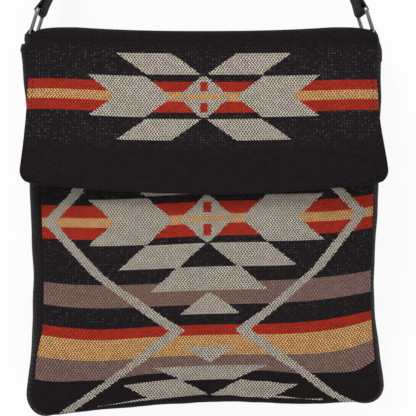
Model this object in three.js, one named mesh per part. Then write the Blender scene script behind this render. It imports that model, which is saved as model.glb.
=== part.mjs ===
// Flap shoulder bag of woven cloth, lying on its back: a stuffed, pillow-shaped body with a gusset,
// a lining, a fold-over flap with a magnetic snap, and a shoulder strap on two wire rings.
// Millimetres. +X is the bag's right, +Y points to its mouth, +Z out of its front.
// The origin is the middle of the flat patch of the back that touches the table.
import * as THREE from 'three';

// Cloth and clearances
const wool = 1.8;
const liningCloth = 0.8;
const seamGap = 0.35;

// Body
const bagHeight = 300;
const topHalf = 136;
const waistHalf = 128;
const baseHalf = 136;
const waistY = -50;
const topCorner = 20;
const baseCorner = 18;
const basePull = 5;
const mouthDepth = 30;
const gussetDepth = 36;
const baseDepth = 24;
const baseRoll = 50;
const gussetBulge = 7;
const gussetDrop = 11;
const gussetFlare = { left: 4.5, right: 0.5 };
const gussetFlareReach = 45;
const frontCrown = 18;
const backCrown = 10;
const restCrown = 8;
const liningLift = 11;
const liningSlack = 0.5;
const liningScoop = 8;
const liningDrop = 15;
const panelColumns = 16;

// How the stuffed body swells: shares of its height, and powers that round it off
const openShare = 0.45;
const bellyShare = 0.5;
const baseRound = { turn: 4, edge: 0.6 };
const sideRound = { turn: 3, edge: 0.8 };
const sideSpread = { above: 1.2, below: 2 };

// Flap
const flapLength = 131;
const flapCornerRise = 9;
const flapFoldHalf = 132;
const flapTopHalf = 138;
const flapLowHalf = 148;
const flapShoulder = 13;
const flapCorner = 12;
const flapGapTop = 1;
const flapDrape = 0.97;

// Magnetic snap
const snapFromEdge = 20;
const snapRadius = 8;
const snapSocketHeight = 1.6;
const snapWell = 4;
const snapStudHeight = 1;
const snapNub = 0.8;
const snapPlay = 0.6;

// Rings, tabs and strap
const wire = 3;
const ringWidth = 21;
const ringLength = 15;
const ringCorner = 2.5;
const ringPlay = 0.6;
const ringTabRise = 6;
const ringInward = 6.2;
const ringForward = 19.3;
const ringFall = 2;
const ringShift = { left: -1, right: 1 };
const ringLean = { left: 18, right: 24 };
const tabWidth = 17;
const tabCloth = 1.4;
const tabTail = 15;
const tabNeck = 3.8;
const tabSnug = 0.88;
const strapWidth = 18;
const strapCloth = 2.4;
const strapTail = 24;
const strapNeck = 8;
const strapFloor = 0.4;
const strapEase = 45;
const strapLean = 8;
const strapSkew = 3;
const strapRoute = [[-123, 28], [-113, 47], [-99, 82], [-85, 130], [-66, 186], [-36, 234], [0, 250]];

// Derived places
const bagTop = bagHeight / 2;
const bagBottom = -bagHeight / 2;
const midZ = gussetDepth / 2 + restCrown;
const mouthHalf = mouthDepth / 2;
const gussetTop = bagTop - gussetDrop;
const tabFoot = gussetTop - tabTail;
const foldY = bagTop + seamGap;
const foldZ = midZ + mouthHalf + flapGapTop;
const flapCloth = liningCloth + seamGap + wool;
const bridgeHalf = topHalf - topCorner;
const snapFall = flapLength - snapFromEdge;
const snapY = foldY - snapFall;
const snapStack = snapSocketHeight + snapStudHeight + 3 * seamGap;

const materials = {
  weave: new THREE.MeshStandardMaterial({ color: 0x232122, roughness: 0.95, metalness: 0 }),
  black: new THREE.MeshStandardMaterial({ color: 0x1b1a1c, roughness: 0.95, metalness: 0 }),
  lining: new THREE.MeshStandardMaterial({ color: 0x2b2829, roughness: 0.8, metalness: 0 }),
  strap: new THREE.MeshStandardMaterial({ color: 0x1d1c1e, roughness: 0.85, metalness: 0 }),
  nickel: new THREE.MeshStandardMaterial({ color: 0xb9bbbe, roughness: 0.25, metalness: 1 }),
};

const clamp01 = (t) => Math.min(1, Math.max(0, t));
const smooth = (t) => clamp01(t) ** 2 * (3 - 2 * clamp01(t));
const spread = (count) => Array.from({ length: count + 1 }, (_, i) => i / count);
const vec = (x, y, z) => new THREE.Vector3(x, y, z);

// How far an edge draws in where a corner of this radius is rounded off, a distance into the corner
function cornerCut(radius, into) {
  const depth = Math.min(Math.max(into, 0), radius);
  return radius - Math.sqrt(radius ** 2 - depth ** 2);
}

// Half width of the sewn outline, narrow at the waist and rounded at its corners
function outlineHalf(y) {
  const above = y > waistY;
  const reach = above ? (y - waistY) / (bagTop - waistY) : (waistY - y) / (waistY - bagBottom);
  const spreadOut = reach ** (above ? sideSpread.above : sideSpread.below);
  const half = waistHalf + ((above ? topHalf : baseHalf) - waistHalf) * spreadOut;
  const cut = cornerCut(topCorner, y - bagTop + topCorner) + cornerCut(baseCorner, bagBottom + baseCorner - y);
  return half - cut;
}

// The base seam pulls in between the two lower corners
function pulled(u, y) {
  const low = clamp01((waistY - y) / (waistY - bagBottom));
  return y + basePull * (1 - u * u) * low ** 4;
}

const down = (y) => clamp01((bagTop - y) / bagHeight);
const roundOff = (t, { turn, edge }) => (1 - clamp01(t) ** turn) ** edge;
const belowBelly = (y) => (down(y) - bellyShare) / (1 - bellyShare);
const swell = (y) => smooth(down(y) / bellyShare) * roundOff(belowBelly(y), baseRound);

// Half the distance between the front and back seams: it opens below the mouth and closes at the base
function seamDepth(y) {
  const opened = mouthHalf + (gussetDepth / 2 - mouthHalf) * smooth(down(y) / openShare);
  return opened - (gussetDepth - baseDepth) / 2 * smooth((bagBottom + baseRoll - y) / baseRoll);
}

const crown = (u) => roundOff(Math.abs(u), sideRound);
const frontZ = (u, y) => midZ + seamDepth(y) + frontCrown * swell(y) * crown(u);
const backZ = (u, y) => Math.max(0, midZ - seamDepth(y) - backCrown * swell(y) * crown(u));

// A closed body between two grids of points, row by row, with walls at their edges
function skinBetween(outer, inner) {
  const rows = outer.length;
  const columns = outer[0].length;
  const points = [...outer.flat(), ...inner.flat()];
  const index = [];
  const at = (side, i, j) => side * rows * columns + i * columns + j;
  const quad = (a, b, c, d) => index.push(a, b, c, a, c, d);
  for (let i = 0; i < rows - 1; i += 1) {
    for (let j = 0; j < columns - 1; j += 1) {
      quad(at(0, i, j), at(0, i + 1, j), at(0, i + 1, j + 1), at(0, i, j + 1));
      quad(at(1, i, j), at(1, i, j + 1), at(1, i + 1, j + 1), at(1, i + 1, j));
    }
  }
  for (let j = 0; j < columns - 1; j += 1) {
    quad(at(0, 0, j), at(0, 0, j + 1), at(1, 0, j + 1), at(1, 0, j));
    quad(at(0, rows - 1, j + 1), at(0, rows - 1, j), at(1, rows - 1, j), at(1, rows - 1, j + 1));
  }
  for (let i = 0; i < rows - 1; i += 1) {
    quad(at(0, i + 1, 0), at(0, i, 0), at(1, i, 0), at(1, i + 1, 0));
    quad(at(0, i, columns - 1), at(0, i + 1, columns - 1), at(1, i + 1, columns - 1), at(1, i, columns - 1));
  }
  return solidFrom(points, index);
}

// An indexed geometry whose faces point out
function solidFrom(points, index) {
  let volume = 0;
  for (let i = 0; i < index.length; i += 3) {
    const [a, b, c] = index.slice(i, i + 3).map((k) => points[k]);
    volume += a.dot(vec(0, 0, 0).crossVectors(b, c));
  }
  const outward = volume > 0 ? index : index.slice().reverse();
  const geometry = new THREE.BufferGeometry();
  geometry.setAttribute('position', new THREE.Float32BufferAttribute(points.flatMap((p) => p.toArray()), 3));
  geometry.setIndex(outward);
  geometry.computeVertexNormals();
  return geometry;
}

// A solid swept through square-cornered or many-sided sections, with a cap at each end
function sweptSolid(sections) {
  const sides = sections[0].length;
  const points = sections.flat();
  const index = [];
  for (let i = 0; i < sections.length - 1; i += 1) {
    for (let j = 0; j < sides; j += 1) {
      const next = (j + 1) % sides;
      const [a, b] = [i * sides + j, i * sides + next];
      index.push(a, b, b + sides, a, b + sides, a + sides);
    }
  }
  const last = points.length - sides;
  for (let j = 1; j < sides - 1; j += 1) {
    index.push(0, j + 1, j, last, last + j, last + j + 1);
  }
  return solidFrom(points, index);
}

// Stations down the body, close together where the corners turn
function bodyStations() {
  const straight = spread(12).map((t) => bagTop - topCorner - t * (bagHeight - topCorner - baseCorner));
  const topTurn = [1, 0.75, 0.4].map((t) => bagTop - topCorner + topCorner * t);
  const baseTurn = [0.3, 0.6, 0.85, 1].map((t) => bagBottom + baseCorner * (1 - t));
  return [...topTurn, ...straight, ...baseTurn];
}

// Front and back panels: crowned sheets over the sewn outline
function panelGeometry(height, inward) {
  const layer = (offset) => bodyStations().map((y) => spread(panelColumns).map((t) => {
    const u = -Math.cos(Math.PI * t);
    return vec(u * outlineHalf(y), pulled(u, y), height(u, y) + offset);
  }));
  return skinBetween(layer(0), layer(inward * wool));
}

// The seam line from the left top of the gusset, round the base, to the right top
function gussetStations() {
  const sideRows = bodyStations().filter((y) => y < gussetTop);
  const side = [gussetTop, ...sideRows].map((y) => ({ x: -outlineHalf(y), y }));
  const baseEnd = outlineHalf(bagBottom);
  const base = spread(12).slice(1, -1).map((t) => ({ x: baseEnd * (2 * t - 1), y: bagBottom }));
  const right = side.map(({ x, y }) => ({ x: -x, y })).reverse();
  return [...side, ...base, ...right];
}

// How far the gusset bows out between its seams, most at its two open tops
function gussetBow(y, side) {
  return gussetBulge + gussetFlare[side] * smooth((y - gussetTop + gussetFlareReach) / gussetFlareReach);
}

// Gusset: one strip round sides and base, bowed outwards at the sides between its two seams
function gussetGeometry() {
  const line = gussetStations().map(({ x, y }) => {
    return { place: vec(x, pulled(x / outlineHalf(y), y), 0), depth: seamDepth(y) - wool - seamGap };
  });
  const layer = (inset) => line.map(({ place, depth }, i) => {
    const before = line[Math.max(0, i - 1)].place;
    const after = line[Math.min(line.length - 1, i + 1)].place;
    const outward = vec(before.y - after.y, after.x - before.x, 0).normalize().negate();
    if (place.y > waistY) outward.set(Math.sign(place.x), 0, 0);
    const fullBow = gussetBow(place.y, place.x < 0 ? 'left' : 'right') * Math.abs(outward.x);
    return spread(6).map((t) => {
      const across = 2 * t - 1;
      const bow = fullBow * (1 - across ** 2) - inset;
      return place.clone().addScaledVector(outward, bow).setZ(midZ + depth * across);
    });
  });
  return skinBetween(layer(0), layer(wool));
}

// Lining: a cup of thin cloth inside the panels, open at the mouth, its rim lower at the gusset
function liningGeometry() {
  const clear = wool + seamGap;
  const stations = bodyStations().filter((y) => y > bagBottom + baseCorner * 0.5);
  const low = bagBottom + liningLift;
  const dip = (u, y) => y - liningDrop * u ** liningScoop * (y - low) / (bagTop - low);
  const loop = (level, inset) => {
    const across = spread(panelColumns).map((t) => {
      const edge = -Math.cos(Math.PI * t);
      const y = dip(edge, level);
      const u = edge * (1 - (clear + inset) / outlineHalf(y));
      const slack = clear + inset + liningSlack * smooth(down(y) * 4);
      return { x: u * outlineHalf(y), y: pulled(u, y), front: frontZ(u, y) - slack, back: backZ(u, y) + slack };
    });
    const front = across.map(({ x, y, front: z }) => vec(x, y, z));
    const back = across.map(({ x, y, back: z }) => vec(x, y, z));
    return [...front, ...back.reverse()];
  };
  const outer = [...stations, low].map((y) => loop(y, 0));
  const inner = [...stations, low + liningCloth].map((y) => loop(y, liningCloth));
  const sides = outer[0].length;
  const sheets = [...outer, ...inner.reverse()];
  return sweptLoop(sheets, sides);
}

// A cup from loops that run down its outside and back up its inside; both floors are closed
function sweptLoop(loops, sides) {
  const points = loops.flat();
  const index = [];
  const floor = loops.length / 2 - 1;
  for (let i = 0; i < loops.length; i += 1) {
    const next = (i + 1) % loops.length;
    for (let j = 0; j < sides && i !== floor; j += 1) {
      const [a, b] = [i * sides + j, i * sides + ((j + 1) % sides)];
      const [c, d] = [next * sides + ((j + 1) % sides), next * sides + j];
      index.push(a, b, c, a, c, d);
    }
  }
  const half = sides / 2;
  const [under, over] = [floor * sides, (floor + 1) * sides];
  for (let j = 0; j < half - 1; j += 1) {
    const [a, b] = [j, j + 1];
    const [c, d] = [sides - 2 - j, sides - 1 - j];
    index.push(under + a, under + b, under + c, under + a, under + c, under + d);
    index.push(over + a, over + c, over + b, over + a, over + d, over + c);
  }
  return solidFrom(points, index);
}

// Half width of the flap, a distance below its fold
function flapHalf(fall, length) {
  const shoulder = smooth(fall / flapShoulder);
  const flare = Math.max(0, fall - flapShoulder) / (flapLength - flapShoulder);
  const straight = flapFoldHalf + (flapTopHalf - flapFoldHalf) * shoulder;
  const half = straight + (flapLowHalf - flapTopHalf) * flare ** 2;
  return half - cornerCut(flapCorner, fall - length + flapCorner);
}

// Underside of the flap: it rises off the front panel until it lies on the snap
function flapZ(u, y, fall) {
  const bodyY = Math.min(y, bagTop);
  const lift = smooth(fall / (snapFall - snapRadius));
  return frontZ(u * flapDrape, bodyY) + flapGapTop + (snapStack - flapGapTop) * lift;
}

// One cloth of the flap, lying on the front of the bag
function flapGeometry(lift, cloth) {
  const turns = [0.35, 0.65, 0.87, 1].map((t) => 1 - (1 - t) * flapCorner / flapLength);
  const rows = [...spread(9).map((t) => t * (1 - flapCorner / flapLength)), ...turns];
  const layer = (offset) => rows.map((share) => spread(panelColumns).map((t) => {
    const u = -Math.cos(Math.PI * t);
    const length = flapLength - flapCornerRise * u * u - seamGap;
    const fall = share * length;
    const y = foldY - seamGap - fall;
    return vec(u * flapHalf(fall, length), y, flapZ(u, y, fall) + offset);
  }));
  return skinBetween(layer(lift + cloth), layer(lift));
}

// The part of the flap that stands across the mouth, from the back seam to the fold
function bridgeGeometry() {
  const height = foldZ - seamGap - (midZ - mouthHalf);
  const shape = new THREE.Shape();
  shape.moveTo(-bridgeHalf, 0);
  shape.lineTo(bridgeHalf, 0);
  shape.lineTo(bridgeHalf, height);
  shape.lineTo(-bridgeHalf, height);
  const geometry = new THREE.ExtrudeGeometry(shape, { depth: flapCloth, bevelEnabled: false });
  geometry.rotateX(Math.PI / 2);
  geometry.translate(0, foldY + flapCloth, midZ - mouthHalf);
  return geometry;
}

// The snap sits under the middle of the flap, square to the front panel
const snapTilt = Math.atan2(frontZ(0, snapY + 1) - frontZ(0, snapY - 1), 2);

// A round snap half on its own axis, from a profile of radius and height
function snapGeometry(profile) {
  const geometry = new THREE.LatheGeometry(profile.map(([r, h]) => new THREE.Vector2(r, h)), 24);
  geometry.rotateX(Math.PI / 2);
  return geometry;
}

const socketProfile = [
  [0, 0],
  [snapRadius, 0],
  [snapRadius, snapSocketHeight],
  [snapWell, snapSocketHeight],
  [snapWell, snapSocketHeight - snapNub - seamGap],
  [0, snapSocketHeight - snapNub - seamGap],
];
const studProfile = [
  [0, -snapNub],
  [snapWell - snapPlay, -snapNub],
  [snapWell - snapPlay, 0],
  [snapRadius, 0],
  [snapRadius, snapStudHeight],
  [0, snapStudHeight],
];

// The two tails of a ring's tab lie on each other between the lining and the bowed gusset
const tabApart = (tabCloth + seamGap) / 2;
function tabX(y, side) {
  const across = tabWidth / 2 / (seamDepth(y) - wool - seamGap);
  const inside = outlineHalf(y) + tabSnug * gussetBow(y, side) * (1 - across ** 2) - wool - seamGap;
  return inside - tabCloth / 2 - tabApart;
}

// A ring's place: its bar in the tab, the way it runs to the strap, and the way its bars point
function ringPlace(side) {
  const sign = side === 'left' ? -1 : 1;
  const tabBar = vec(sign * (tabX(gussetTop, side) - ringShift[side]), gussetTop + ringTabRise, midZ);
  const along = vec(-sign * ringInward, ringForward, -ringFall).normalize();
  const upright = vec(0, 0, 1).addScaledVector(along, -along.z).normalize();
  const bar = upright.applyAxisAngle(along, sign * THREE.MathUtils.degToRad(ringLean[side]));
  const strapBar = tabBar.clone().addScaledVector(along, ringLength + wire);
  return { side, sign, tabBar, strapBar, along, bar };
}

// Ring: round wire bent to a rectangle with rounded corners
function ringGeometry({ tabBar, along, bar }) {
  const halfWide = (ringWidth + wire) / 2;
  const long = ringLength + wire;
  const outline = new THREE.Shape();
  outline.absarc(halfWide - ringCorner, ringCorner, ringCorner, -Math.PI / 2, 0);
  outline.absarc(halfWide - ringCorner, long - ringCorner, ringCorner, 0, Math.PI / 2);
  outline.absarc(ringCorner - halfWide, long - ringCorner, ringCorner, Math.PI / 2, Math.PI);
  outline.absarc(ringCorner - halfWide, ringCorner, ringCorner, Math.PI, Math.PI * 1.5);
  outline.closePath();
  const flat = outline.getPoints(4).slice(0, -1);
  const normal = vec(0, 0, 0).crossVectors(bar, along);
  const loops = flat.map((p, i) => {
    const before = flat[(i + flat.length - 1) % flat.length];
    const after = flat[(i + 1) % flat.length];
    const tangent = after.clone().sub(before).normalize();
    return spread(8).slice(0, -1).map((t) => {
      const turn = t * 2 * Math.PI;
      const out = Math.cos(turn) * wire / 2;
      const flatPoint = new THREE.Vector2(p.x + tangent.y * out, p.y - tangent.x * out);
      return tabBar.clone()
        .addScaledVector(bar, flatPoint.x)
        .addScaledVector(along, flatPoint.y)
        .addScaledVector(normal, Math.sin(turn) * wire / 2);
    });
  });
  return tubeLoop(loops);
}

// A closed tube from loops of points that follow each other round
function tubeLoop(loops) {
  const sides = loops[0].length;
  const points = loops.flat();
  const index = [];
  for (let i = 0; i < loops.length; i += 1) {
    const next = (i + 1) % loops.length;
    for (let j = 0; j < sides; j += 1) {
      const turn = (j + 1) % sides;
      const [a, b] = [i * sides + j, i * sides + turn];
      index.push(a, b, next * sides + turn, a, next * sides + turn, next * sides + j);
    }
  }
  return solidFrom(points, index);
}

// A flat band along a line of stations, each with the way its width points
function bandGeometry(stations, width, cloth) {
  const sections = stations.map(({ place, wide }, i) => {
    const before = stations[Math.max(0, i - 1)].place;
    const after = stations[Math.min(stations.length - 1, i + 1)].place;
    const tangent = after.clone().sub(before).normalize();
    const side = wide.clone().addScaledVector(tangent, -wide.dot(tangent)).normalize();
    const face = vec(0, 0, 0).crossVectors(tangent, side).normalize();
    const corner = (w, f) => {
      return place.clone().addScaledVector(side, w * width / 2).addScaledVector(face, f * cloth / 2);
    };
    return [corner(-1, -1), corner(1, -1), corner(1, 1), corner(-1, 1)];
  });
  return sweptSolid(sections);
}

// A turn of cloth round a ring's bar, from one tail to the other
function turnRound(centre, away, bar, radius) {
  const across = vec(0, 0, 0).crossVectors(bar, away).normalize();
  return spread(8).map((t) => {
    const turn = Math.PI * t;
    return centre.clone()
      .addScaledVector(across, Math.cos(turn) * radius)
      .addScaledVector(away, Math.sin(turn) * radius);
  });
}

// Tab: a short band folded round the ring's bar, its two tails sewn inside the top of the gusset
function tabGeometry({ side, sign, tabBar, bar }) {
  const radius = (wire + tabCloth) / 2 + ringPlay;
  const upright = vec(0, 0, 1);
  const neck = { y: tabBar.y - tabNeck, shift: (tabX(gussetTop, side) - tabBar.x * sign) / 2, wide: bar };
  const away = vec(0, 1, 0).addScaledVector(bar, -bar.y).normalize();
  const turn = turnRound(tabBar, away, bar, radius).map((place) => ({ place, wide: bar }));
  const ordered = turn[0].place.x * sign > turn[turn.length - 1].place.x * sign ? turn.reverse() : turn;
  const sewn = spread(3).map((t) => ({ y: tabFoot + t * tabTail, shift: 0, wide: upright }));
  const tail = (offset) => [...sewn, neck].map(({ y, shift, wide }) => {
    const x = tabX(Math.min(y, gussetTop), side) - shift + offset;
    return { place: vec(sign * x, y, tabBar.z), wide };
  });
  return bandGeometry([...tail(-tabApart), ...ordered, ...tail(tabApart).reverse()], tabWidth, tabCloth);
}

// The strap's route on the table from one ring to the other, and how it leans on its way
function strapStations(left, right) {
  const arch = strapRoute.map(([x, pastTop]) => vec(x, bagTop + pastTop, 0));
  const back = arch.slice(0, -1).reverse().map((p) => vec(-p.x - strapSkew, p.y, 0));
  const knots = [left.strapBar, ...arch, ...back, right.strapBar].map((p) => p.clone());
  const curve = new THREE.CatmullRomCurve3(knots);
  const total = curve.getLength();
  const rise = (lean) => strapFloor + Math.cos(lean) * strapWidth / 2 + Math.sin(lean) * strapCloth / 2;
  const lean = THREE.MathUtils.degToRad(strapLean);
  const steps = 60;
  return spread(steps).slice(1, -1).map((t) => {
    const place = curve.getPointAt(t);
    const tangent = curve.getTangentAt(t).setZ(0).normalize();
    const outward = vec(-tangent.y, tangent.x, 0);
    const onTable = vec(0, 0, Math.cos(lean)).addScaledVector(outward, Math.sin(lean));
    const end = t < 0.5 ? left : right;
    const ease = smooth((Math.min(t, 1 - t) * total - strapTail) / strapEase);
    place.setZ(end.strapBar.z + (rise(lean) - end.strapBar.z) * ease);
    return { place, wide: end.bar.clone().lerp(onTable, ease).normalize() };
  });
}

// One end of the strap: it turns round the ring's bar and is sewn back on itself
function strapEnd({ sign, strapBar, bar }, stations) {
  const radius = (wire + strapCloth) / 2 + ringPlay;
  const away = strapBar.clone().sub(stations[0].place).normalize();
  away.addScaledVector(bar, -away.dot(bar)).normalize();
  const turn = turnRound(strapBar, away, bar, radius).map((place) => ({ place, wide: bar }));
  const outside = turn[0].place.x * sign > turn[turn.length - 1].place.x * sign ? turn : turn.reverse();
  const spacing = strapCloth + seamGap;
  const sewn = stations.filter(({ place }) => place.distanceTo(strapBar) < strapTail);
  const tail = sewn.map(({ place, wide }, i) => {
    const next = stations[i + 1].place;
    const ahead = next.clone().sub(place).normalize();
    const aside = vec(0, 0, 0).crossVectors(ahead, wide).normalize();
    const out = aside.x * sign > 0 ? 1 : -1;
    return { place: place.clone().addScaledVector(aside, out * spacing), wide };
  });
  return [...tail.reverse(), ...outside];
}

function strapGeometry(left, right) {
  const middle = strapStations(left, right);
  const mirrored = middle.slice().reverse();
  const start = strapEnd(left, middle);
  const end = strapEnd(right, mirrored).reverse();
  const fromRings = (place) => Math.min(place.distanceTo(left.strapBar), place.distanceTo(right.strapBar));
  const run = middle.filter(({ place }) => fromRings(place) > strapNeck);
  return bandGeometry([...start, ...run, ...end], strapWidth, strapCloth);
}

function piece(name, geometry, material) {
  const mesh = new THREE.Mesh(geometry, material);
  mesh.name = name;
  return mesh;
}

const bag = new THREE.Group();
const rings = { left: ringPlace('left'), right: ringPlace('right') };

bag.add(piece('front_panel', panelGeometry(frontZ, -1), materials.weave));
bag.add(piece('back_panel', panelGeometry(backZ, 1), materials.black));
bag.add(piece('gusset', gussetGeometry(), materials.black));
bag.add(piece('lining', liningGeometry(), materials.lining));
bag.add(piece('flap_top', bridgeGeometry(), materials.weave));
bag.add(piece('flap_front', flapGeometry(liningCloth + seamGap, wool), materials.weave));
bag.add(piece('flap_lining', flapGeometry(0, liningCloth), materials.lining));

const snap = new THREE.Group();
snap.position.set(0, snapY, frontZ(0, snapY));
snap.rotation.x = snapTilt;
const socket = piece('snap_socket', snapGeometry(socketProfile), materials.nickel);
socket.position.z = seamGap;
const stud = piece('snap_stud', snapGeometry(studProfile), materials.nickel);
stud.position.z = socket.position.z + snapSocketHeight + seamGap;
snap.add(socket, stud);
bag.add(snap);

for (const side of ['left', 'right']) {
  bag.add(piece(`ring_${side}`, ringGeometry(rings[side]), materials.nickel));
  bag.add(piece(`ring_tab_${side}`, tabGeometry(rings[side]), materials.strap));
}
bag.add(piece('shoulder_strap', strapGeometry(rings.left, rings.right), materials.strap));

export default bag;
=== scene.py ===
import functools
import math

import bpy
from mathutils import Matrix, Vector, noise


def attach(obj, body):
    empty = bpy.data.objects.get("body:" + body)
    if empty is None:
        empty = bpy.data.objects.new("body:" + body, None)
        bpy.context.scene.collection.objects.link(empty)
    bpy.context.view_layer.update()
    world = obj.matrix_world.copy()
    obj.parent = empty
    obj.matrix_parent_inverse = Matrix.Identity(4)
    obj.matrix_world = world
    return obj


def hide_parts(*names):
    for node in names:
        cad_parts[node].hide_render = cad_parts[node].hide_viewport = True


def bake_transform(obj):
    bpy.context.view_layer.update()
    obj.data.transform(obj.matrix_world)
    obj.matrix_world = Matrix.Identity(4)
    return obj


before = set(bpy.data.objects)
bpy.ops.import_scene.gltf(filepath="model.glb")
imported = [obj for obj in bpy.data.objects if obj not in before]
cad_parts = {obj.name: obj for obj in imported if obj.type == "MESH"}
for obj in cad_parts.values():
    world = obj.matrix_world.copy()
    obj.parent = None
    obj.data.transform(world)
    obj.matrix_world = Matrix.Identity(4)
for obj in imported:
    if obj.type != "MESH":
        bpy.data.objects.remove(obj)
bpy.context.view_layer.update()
scene = bpy.context.scene
print("frame loaded:", len(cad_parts), "nodes")


def clamp(value, low=0.0, high=1.0):
    return max(low, min(high, value))


def ease(value):
    t = clamp(value)
    return t * t * (3 - 2 * t)


def mixed(a, b, t):
    return a + (b - a) * t


def ink(red, green, blue):  # a colour as read off a screen, made linear
    def line(c):
        c /= 255
        return c / 12.92 if c <= 0.04045 else ((c + 0.055) / 1.055) ** 2.4

    return (line(red), line(green), line(blue), 1.0)


def wander(x, y, size, seed):  # a soft uneven height, about -1 to 1
    return noise.noise(Vector((x / size, y / size, seed)))


# the view: square from above, as the bag lies on its back
view = dict(lens=400, sensor=36, width=0.3282, middle=(0.0032, 0.0080), focus=0.045, farthest=20)


def setCamera():
    bpy.ops.object.select_all(action="DESELECT")
    away = view["width"] * view["lens"] / view["sensor"]
    spot = (view["middle"][0], view["middle"][1], view["focus"] + away)
    bpy.ops.object.camera_add(location=spot, rotation=(0, 0, 0))
    camera = bpy.context.active_object
    camera.name = "camera"
    camera.data.lens = view["lens"]
    camera.data.sensor_width = view["sensor"]
    camera.data.clip_end = view["farthest"]
    scene.camera = camera


setCamera()
print("camera set")


class Sum:  # a socket that takes part in sums
    def __init__(self, tree, socket):
        self.tree = tree
        self.socket = socket

    def calc(self, operation, *others):
        node = self.tree.nodes.new("ShaderNodeMath")
        node.operation = operation
        for slot, value in zip(node.inputs, others):
            if isinstance(value, Sum):
                self.tree.links.new(value.socket, slot)
            else:
                slot.default_value = value
        return Sum(self.tree, node.outputs[0])

    def __add__(self, other):
        return self.calc("ADD", self, other)

    def __radd__(self, other):
        return self.calc("ADD", other, self)

    def __sub__(self, other):
        return self.calc("SUBTRACT", self, other)

    def __rsub__(self, other):
        return self.calc("SUBTRACT", other, self)

    def __mul__(self, other):
        return self.calc("MULTIPLY", self, other)

    def __rmul__(self, other):
        return self.calc("MULTIPLY", other, self)

    def __truediv__(self, other):
        return self.calc("DIVIDE", self, other)

    def __rtruediv__(self, other):
        return self.calc("DIVIDE", other, self)

    def __pow__(self, other):
        return self.calc("POWER", self, other)

    def __abs__(self):
        return self.calc("ABSOLUTE", self)

    def __lt__(self, other):
        return self.calc("LESS_THAN", self, other)

    def __gt__(self, other):
        return self.calc("GREATER_THAN", self, other)

    def __or__(self, other):
        return self.calc("MAXIMUM", self, other)

    def __and__(self, other):
        return self.calc("MULTIPLY", self, other)

    def floor(self):
        return self.calc("FLOOR", self)

    def fract(self):
        return self.calc("FRACT", self)

    def pingpong(self, span):
        return self.calc("PINGPONG", self, span)

    def sine(self):
        return self.calc("SINE", self)


class Finish:  # one material and its nodes
    def __init__(self, name):
        self.material = bpy.data.materials.new(name)
        self.material.use_nodes = True
        self.tree = self.material.node_tree
        self.shader = self.tree.nodes["Principled BSDF"]

    def put(self, socket, value):
        slot = self.shader.inputs[socket]
        if isinstance(value, Sum):
            self.tree.links.new(value.socket, slot)
        else:
            slot.default_value = value

    def node(self, kind, settings, sockets, out=0):
        node = self.tree.nodes.new(kind)
        for key, value in settings.items():
            if key == "stops":
                self.stops(node.color_ramp, value)
            else:
                setattr(node, key, value)
        for key, value in sockets.items():
            if isinstance(value, Sum):
                self.tree.links.new(value.socket, node.inputs[key])
            else:
                node.inputs[key].default_value = value
        return Sum(self.tree, node.outputs[out])

    def stops(self, ramp, values):
        while len(ramp.elements) < len(values):
            ramp.elements.new(1.0)
        for element, (place, grey) in zip(ramp.elements, values):
            element.position = place
            element.color = (grey, grey, grey, 1)

    def cloth(self):  # the piece's own cloth map, and its two ways in millimetres
        spot = self.node("ShaderNodeUVMap", dict(uv_map="cloth"), {})
        x = self.node("ShaderNodeSeparateXYZ", {}, {0: spot}, "X") * 1000
        y = self.node("ShaderNodeSeparateXYZ", {}, {0: spot}, "Y") * 1000
        return spot, x, y

    def blend(self, factor, a, b):
        return self.node("ShaderNodeMix", dict(data_type="RGBA"), {0: factor, 6: a, 7: b}, 2)

    def scaled(self, colour, factor):
        colour = colour if isinstance(colour, Sum) else colour[:3]
        return self.node("ShaderNodeVectorMath", dict(operation="SCALE"), {0: colour, "Scale": factor})

    def softStep(self, value, low, high):
        sockets = {"Value": value, "From Min": low, "From Max": high}
        return self.node("ShaderNodeMapRange", dict(interpolation_type="SMOOTHSTEP"), sockets)

    def cloudy(self, vector, scale, detail=2.0):
        sockets = {"Vector": vector, "Scale": scale, "Detail": detail}
        return self.node("ShaderNodeTexNoise", {}, sockets)

    def speck(self, x, y, seed):  # one random value for each woven cell
        spot = self.node("ShaderNodeCombineXYZ", {}, {0: x, 1: y, 2: seed})
        return self.node("ShaderNodeTexWhiteNoise", {}, {"Vector": spot})

    def raised(self, height, distance, strength):
        sockets = {"Height": height, "Distance": distance, "Strength": strength}
        self.put("Normal", self.node("ShaderNodeBump", {}, sockets))


yarn = dict(
    row=1.85,  # mm, one row of slanted stitches
    spacing=2.4,  # mm, from yarn to yarn
    slope=1.3,
    stepped=0.5,  # how far a figure's edge follows the yarns
    core=(0.22, 0.68),  # where a yarn starts to round off, and where it is gone
    dive=(0.5, 1.0),  # where along its stitch it goes under
    tuck=0.5,  # and how far
    colour=dict(
        pale=ink(222, 212, 195),
        yellow=ink(250, 190, 125),
        red=ink(194, 56, 41),
        taupe=ink(153, 123, 113),
        black=ink(36, 31, 33),
        fleck=ink(95, 90, 90),
        plain=ink(35, 31, 33),
    ),
    between=dict(pale=0.08, yellow=0.12, red=0.32, taupe=0.22, black=0.5),  # light left between the yarns
    flecked=0.1,  # how much of the pale yarn below every black cell shows
    dot=(0.1, 0.8),  # where along a stitch it shows
    tone=(0.62, 0.34, 0.3, 0.12),  # the least, then what cell, wool and cloud add
    plainTone=(0.8, 0.2, 0.2),
    plainDepth=0.62,
    wool=900.0,
    cloud=28.0,
    rough=(0.86, 0.12),
    plainRough=(0.84, 0.14),
    bump=(0.35, 0.0004, 0.7),  # the wool's part in it, metres, strength
)


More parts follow.
